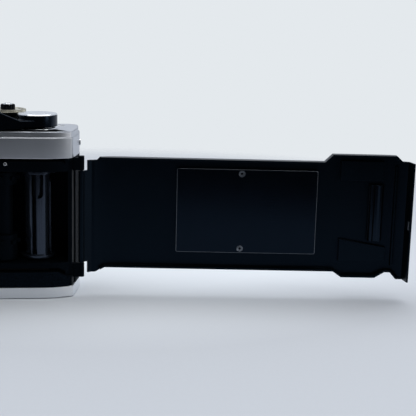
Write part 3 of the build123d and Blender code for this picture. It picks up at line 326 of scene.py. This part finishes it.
def paint(name, colours, roughness=(0.4, 0.55)):
    """Enamel filled into engraving or pad-printed; slightly uneven in cover."""
    material, tree, shader, mm = start_material(name, {"IOR": 1.45})
    cover = add(tree, "ShaderNodeTexNoise", {"Vector": mm, "Scale": 3.0, "Detail": 2.0})
    vary(tree, cover.outputs[0], shader, colours, roughness)
    return material


white_paint = paint("white enamel", ("d9dad6", "efefec"))
black_paint = paint("black enamel", ("0a0a0b", "17171a"))


def numerals(name, entries, height, body, material, rise=0.04):
    """Figures as thin raised paint: entries are (text, placing matrix in mm)."""
    mesh = bpy.data.meshes.new(name)
    shape = bmesh.new()
    for text, place in entries:
        curve = bpy.data.curves.new(name + text, "FONT")
        curve.body, curve.size, curve.extrude = text, height, rise
        curve.align_x, curve.align_y = "CENTER", "CENTER"
        curve.resolution_u = 3
        letter = bpy.data.objects.new(name + text, curve)
        solid = bpy.data.meshes.new_from_object(letter)
        solid.transform(Matrix.Scale(MM, 4) @ place)
        shape.from_mesh(solid)
        bpy.data.objects.remove(letter)
        bpy.data.meshes.remove(solid)
    shape.to_mesh(mesh)
    shape.free()
    mesh.materials.append(material)
    piece = bpy.data.objects.new(name, mesh)
    bpy.context.scene.collection.objects.link(piece)
    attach(piece, body)
    return piece


def around_z(text, centre, radius, angle):
    turn = Matrix.Rotation(math.radians(angle), 4, "Z")
    inward = Matrix.Rotation(math.radians(-90), 4, "Z")
    return text, Matrix.Translation(centre) @ turn @ Matrix.Translation((radius, 0, 0)) @ inward


counter_figures = [around_z(str(4 * i), (63, 9, 71.43), 3.3, 90 - 40 * i) for i in range(9)]
numerals("counter_figures", counter_figures, 1.0, "counter", white_paint, 0.02)

# ---- Advance lever ----------------------------------------------------------------------------
# A cast lever under glossy black enamel on a polished collar; its cap is spun chrome with two
# holes for the key that screws it down.
gloss_enamel = lacquer("gloss black enamel", ("020203", "050608"), (0.14, 0.22), 0.008, 0.24)
eased("advance_lever", 0.35, gloss_enamel)


def spun_metal(name, colours, roughness, centre, ring_gap=0.18):
    """Metal faced on a lathe: fine rings round the centre, a fifth of a millimetre apart."""
    material, tree, shader, mm = start_material(name, {"Metallic": 1.0})
    shifted = add(tree, "ShaderNodeVectorMath", {0: mm, 1: [-c for c in centre]}, operation="ADD")
    rings = add(tree, "ShaderNodeTexWave", {"Vector": shifted.outputs[0], "Scale": 0.32 / ring_gap,
                                            "Distortion": 0.4, "Detail": 2.0},
                wave_type="RINGS", rings_direction="Z")
    vary(tree, rings.outputs[0], shader, colours, roughness)
    emboss(tree, shader, rings, 0.25, 0.01)
    return material


hub_centre = (55.0, -2.5, 0.0)
spun_chrome = spun_metal("spun chrome", ("c9ccd0", "e8eaec"), (0.14, 0.24), hub_centre)
eased("lever_cap", 0.1, spun_chrome)
eased("lever_collar", 0.1, bright_chrome)

# ---- Take-up spool and sprocket ---------------------------------------------------------------
# The spool is moulded in black plastic with slots for the film's end; its colour and roughness vary in
# random vertical streaks. The sprocket is lacquered like the casting.
material, tree, shader, mm = start_material("polished black plastic", {
    "IOR": 1.6, "Specular Tint": linear("c8dcff")})
streaks = add(tree, "ShaderNodeVectorMath", {0: mm, 1: (1.5, 1.5, 0.1)}, operation="MULTIPLY")
# Random noise stretched upright: lighter streaks are also rougher.
streak_noise = add(tree, "ShaderNodeTexNoise", {"Vector": streaks.outputs[0], "Scale": 1.0, "Detail": 3.0})
vary(tree, streak_noise.outputs[0], shader, ("11151b", "1d232b"), (0.12, 0.22))
emboss(tree, shader, streak_noise, 0.2, 0.01)
eased("take_up_spool", 0.12, material)
eased("sprocket", 0.1, black_lacquer)

# ---- Speed dial and shutter button ------------------------------------------------------------
# A dish of champagne-anodised aluminium with a fine-milled rim, figures round its flat, a
# black knurled grip, and the polished release button through its middle.
dial_centre = (41.5, 7.6, 0)
dial_metal = satin_plate("champagne anodised aluminium", ("a5a294", "c2bfb0"), (0.3, 0.42), 0.3)
dial_bore, dial_flat = 2.06, 80.15
dial_profile = [
    (dial_bore, 71.4, 0), (4.5, 71.4, 0), (4.5, 76.0, 0), (5.5, 76.4, 0), (7.7, 79.2, 0), (8.0, 79.5, 0),
    (8.0, 79.6, 0.18), (8.0, 80.2, 0.18), (7.85, 80.4, 0.1), (7.4, 80.4, 0), (7.2, dial_flat, 0),
    (3.1, dial_flat, 0), (dial_bore, dial_flat, 0),
]
dish = turned("dial_dish", dial_profile, dial_centre, "speed_dial", dial_metal, ribs=60)
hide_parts("speed_dial")
grip_profile = [
    (dial_bore, dial_flat, 0), (3.2, dial_flat, 0), (3.2, 80.5, 0.3), (3.2, 82.0, 0.3),
    (3.0, 82.4, 0.2), (2.7, 82.4, 0), (2.5, 82.2, 0), (dial_bore, 82.2, 0),
]
black_anodised = satin_plate("black anodised aluminium", ("101114", "1d1f23"), (0.32, 0.45), 0.3)
turned("dial_grip", grip_profile, dial_centre, "speed_dial", black_anodised, ribs=18)
speeds = ["1", "2", "4", "8", "15", "30", "60", "125", "250", "500"]
speed_figures = [around_z(s, (41.5, 7.6, 80.17), 6.25, 250 - 30 * i) for i, s in enumerate(speeds)]
numerals("speed_figures", speed_figures, 1.25, "speed_dial", black_paint)
eased("shutter_button", 0.05, bright_chrome)

# ---- Rewind knob and crank --------------------------------------------------------------------
# The knob is plated brass with a straight-knurled rim; the folding crank lies in its slot.
eased("rewind_knob", 0.1, satin_chrome)
rim_profile = [(10.6, 74.0, 0), (11.05, 74.0, 0), (11.25, 74.3, 0.3), (11.25, 77.1, 0.3),
               (11.05, 77.4, 0), (10.6, 77.4, 0)]
turned("rewind_rim", rim_profile, (-49.5, -1.0, 0), "rewind_spindle", satin_chrome,
       ribs=64)
eased("rewind_crank", 0.15, bright_chrome)
eased("rewind_shaft", 0.1, gate_steel)
eased("latch_bar", 0.1, gate_steel)

# ---- Accessory shoe ---------------------------------------------------------------------------
# Bent from sheet brass and chromed, screwed to the finder housing.
eased("accessory_shoe", 0.1, bright_chrome)

# ---- Lens -------------------------------------------------------------------------------------
# Barrel and rings are turned aluminium, black anodised; the focusing ring has a grip of milled
# blocks, the aperture ring a scalloped band, and the glass carries a violet coating.
eased("mount_ring", 0.15, satin_chrome)
eased("lens_barrel", 0.12, black_anodised)
lens_centre = (0, 0, 38.3)
flange = 27.6
aperture_profile = [
    (27.06, flange + 1.9, 0), (30.2, flange + 1.9, 0), (30.5, flange + 2.2, 0.7),
    (30.5, flange + 5.0, 0.7), (30.1, flange + 5.4, 0), (30.1, flange + 8.9, 0),
    (29.7, flange + 9.5, 0), (27.06, flange + 9.5, 0),
]
ring = turned("aperture_ring_milled", aperture_profile, lens_centre, "aperture_ring",
              black_anodised, axis="Y", ribs=36)
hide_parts("aperture_ring")
focus_profile = [(27.06, flange + 9.8, 0), (30.2, flange + 9.8, 0), (30.5, flange + 10.1, 0),
                 (30.5, flange + 13.2, 0)]
block_rows, block_gap, row_start = 5, 2.4, flange + 13.4
for row in range(block_rows):
    low = row_start + row * block_gap
    focus_profile += [(30.1, low, 0), (31.0, low + 0.2, 0.9), (31.0, low + 1.9, 0.9),
                      (30.1, low + 2.1, 0)]
focus_profile += [(30.4, flange + 25.7, 0), (30.4, flange + 26.2, 0), (30.1, flange + 26.5, 0),
                  (27.06, flange + 26.5, 0)]
ring = turned("focus_ring_milled", focus_profile, lens_centre, "focus_ring",
              black_anodised, axis="Y", ribs=60)
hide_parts("focus_ring")


def around_y(text, radius, depth, angle):
    """Figures on a lens ring, read from above and behind."""
    turn = Matrix.Rotation(math.radians(angle), 4, "Y")
    return text, (Matrix.Translation((0, depth, lens_centre[2])) @ turn
                  @ Matrix.Translation((0, 0, radius)))


stops = ["2.8", "4", "5.6", "8", "11", "16"]
numerals("aperture_figures", [around_y(s, 30.1, flange + 7.2, 12 * i) for i, s in enumerate(stops)],
         2.2, "aperture_ring", white_paint)
distances = [".5", ".6", ".8", "1", "1.5", "2", "4"]
numerals("focus_figures", [around_y(s, 30.5, flange + 11.7, 24 * i) for i, s in enumerate(distances)],
         2.0, "focus_ring", white_paint)

eased("lens_cell", 0.1, black_anodised)
groove_gap, crest, root = 0.6, 25.35, 25.6
filter_profile = [(25.75, 56.4, 0), (25.75, 60.3, 0)]
for turn in range(5, -1, -1):
    filter_profile += [(crest, 56.6 + turn * groove_gap, 0), (root, 56.3 + turn * groove_gap, 0)]
turned("filter_thread_ring", filter_profile, lens_centre, "lens_cell",
       black_anodised, axis="Y")
coated_glass = glass("coated lens glass", ("eef2f6", "f8faff"), (0.0, 0.02), specular="b9a2ff")
dress("front_glass", coated_glass)
dress("rear_glass", coated_glass)
for number in range(1, 6):
    dress(f"iris_blade_{number}", black_steel)

# ---- Fittings on the front --------------------------------------------------------------------
# Polished chrome on brass: self-timer lever, lens release, flash socket and strap lugs.
for node in ("self_timer_lever", "lens_release"):
    eased(node, 0.2, bright_chrome)
eased("flash_socket", 0.15, bright_chrome)
eased("strap_lugs", 0.3, bright_chrome)
turned("flash_insulator", [(0, 16.6, 0), (2.0, 16.6, 0), (2.0, 17.1, 0), (0.5, 17.1, 0),
                           (0.5, 18.1, 0), (0.35, 18.2, 0), (0, 18.2, 0)],
       (-50, 0, 51), "camera_body", black_plastic, axis="Y", steps=48)

# ---- Hinge and door ---------------------------------------------------------------------------
# The door is pressed steel under the same black lacquer, hung on a blued pin. Its pressure
# plate is lacquered glossy over rolled dimples and worn bare along its edges; two hollow
# rivets hold it on a leaf spring.
eased("hinge_lugs", 0.1, black_lacquer)
dress("hinge_pin", black_steel)
door_lacquer = lacquer("black door lacquer", ("010305", "030709"), (0.28, 0.38), 0.012, 0.14)
eased("back_door", 0.12, door_lacquer)
dress("plate_spring", black_steel)
eased("cassette_spring", 0.15, gloss_enamel)
eased("latch_catch", 0.1, gate_steel)

material, tree, shader, mm = start_material("dimpled black plate", {
    "IOR": 1.5, "Specular IOR Level": 0.19, "Specular Tint": linear("a2ccff")})
dimple_gap = 1.3
dots = add(tree, "ShaderNodeTexVoronoi", {"Vector": mm, "Scale": 1 / dimple_gap, "Randomness": 0.0})
hollow = add(tree, "ShaderNodeMapRange", {"Value": dots.outputs[0], "From Min": 0.15, "From Max": 0.4},
             interpolation_type="SMOOTHSTEP")
cloud = add(tree, "ShaderNodeTexNoise", {"Vector": mm, "Scale": 0.08})
both = add(tree, "ShaderNodeMix", {0: 0.5, 2: hollow.outputs[0], 3: cloud.outputs[0]})
# Painted shade: the dimples' hollows are coloured a little darker than the plate between them, and are
# glossier; a slow random cloud varies the rest.
vary(tree, both.outputs[0], shader, ("010203", "020305"), (0.10, 0.22))
emboss(tree, shader, hollow, 0.2, 0.02)
eased("pressure_plate", 0.25, material, worn=gate_steel)
eased("plate_rivets", 0.08, gate_steel)

# ---- Studio -----------------------------------------------------------------------------------
# A pale sweep under a large soft box, and the room behind the camera is dim. The sweep's colour is
# painted lighter round the object's foot and darker further out, a painted pool of light, and further
# out still it fades to the plain background.
floor_mesh = bpy.data.meshes.new("paper_sweep")
shape = bmesh.new()
bmesh.ops.create_grid(shape, x_segments=24, y_segments=24, size=1.2)
shape.to_mesh(floor_mesh)
shape.free()
floor = bpy.data.objects.new("paper_sweep", floor_mesh)
floor.location = (0, 0, -0.0002)
bpy.context.scene.collection.objects.link(floor)
material, tree, shader, mm = start_material("pale paper", {"Roughness": 0.85, "IOR": 1.3})
fibre = add(tree, "ShaderNodeTexNoise", {"Vector": mm, "Scale": 0.6, "Detail": 4.0})
# Painted pool of light: the colour is lightest within 105 mm of a point under the object and darkens out
# to 185 mm, standing in for the fall of light.
from_centre = add(tree, "ShaderNodeVectorMath", {0: mm, 1: (90.0, 100.0, 0.0)}, operation="DISTANCE")
painted_falloff = add(tree, "ShaderNodeMapRange", {"Value": from_centre.outputs["Value"], "From Min": 105.0,
                                           "From Max": 185.0, "To Min": 0.0, "To Max": 0.92})
tone = add(tree, "ShaderNodeMath", {0: fibre.outputs[0], 1: 0.08, 2: painted_falloff.outputs[0]},
           operation="MULTIPLY_ADD")
vary(tree, tone.outputs[0], shader, ("e2e7ec", "c6cad0"), (0.8, 0.9))
fade = add(tree, "ShaderNodeMapRange", {"Value": from_centre.outputs["Value"], "From Min": 285.0,
                                        "From Max": 370.0}, interpolation_type="SMOOTHSTEP")
clear = add(tree, "ShaderNodeBsdfTransparent")
blend = add(tree, "ShaderNodeMixShader", {0: fade.outputs[0], 1: shader.outputs[0],
                                          2: clear.outputs[0]})
ending = next(node for node in tree.nodes if node.type == "OUTPUT_MATERIAL")
tree.links.new(blend.outputs[0], ending.inputs["Surface"])
floor_mesh.materials.append(material)

world = bpy.data.worlds.new("studio")
world.use_nodes = True
tree = world.node_tree
tree.nodes.clear()
direction = add(tree, "ShaderNodeTexCoord").outputs["Generated"]
axes = add(tree, "ShaderNodeSeparateXYZ", {0: direction})
ahead = add(tree, "ShaderNodeMapRange", {"Value": axes.outputs["Y"], "From Min": -0.5,
                                         "From Max": 0.35, "To Min": 0.05, "To Max": 0.80},
            interpolation_type="SMOOTHSTEP")
room = add(tree, "ShaderNodeBackground", {"Color": linear("e9f0fb"), "Strength": ahead.outputs[0]})
plain = add(tree, "ShaderNodeBackground", {"Color": linear("e4e9ed"), "Strength": 1.0})
seen = add(tree, "ShaderNodeLightPath").outputs["Is Camera Ray"]
sky = add(tree, "ShaderNodeMixShader", {0: seen, 1: room.outputs[0], 2: plain.outputs[0]})
add(tree, "ShaderNodeOutputWorld", {0: sky.outputs[0]})
bpy.context.scene.world = world


def soft_box(name, place, target, size, watts):
    light = bpy.data.lights.new(name, "AREA")
    light.shape, light.size, light.size_y, light.energy = "RECTANGLE", size[0], size[1], watts
    lamp = bpy.data.objects.new(name, light)
    lamp.location = place
    lamp.rotation_euler = (Vector(target) - Vector(place)).to_track_quat("-Z", "Y").to_euler()
    bpy.context.scene.collection.objects.link(lamp)


soft_box("overhead soft box", (0.1, 0.1, 1.0), (0.05, 0, 0), (1.1, 1.1), 9.2)
soft_box("window to the right", (1.05, -0.60, 0.30), (0.07, 0, 0.05), (0.4, 0.6), 2.6)

# ---- Camera -----------------------------------------------------------------------------------
camera_data = bpy.data.cameras.new("camera")
camera_data.sensor_width = 36.0
camera_data.lens = 84.78          # a short telephoto, as the depth of the view shows
camera = bpy.data.objects.new("camera", camera_data)
bpy.context.scene.collection.objects.link(camera)
right = Vector((0.9931, -0.1143, 0.02645)).normalized()
forward = Vector((0.1173, 0.9730, -0.1987)).normalized()
up = right.cross(forward).normalized()
right = forward.cross(up)
turn = Matrix((right, up, -forward)).transposed().to_4x4()
camera.matrix_world = Matrix.Translation((0.0788, -0.4337, 0.1258)) @ turn
bpy.context.scene.camera = camera
bpy.context.scene.view_settings.view_transform = "Standard"
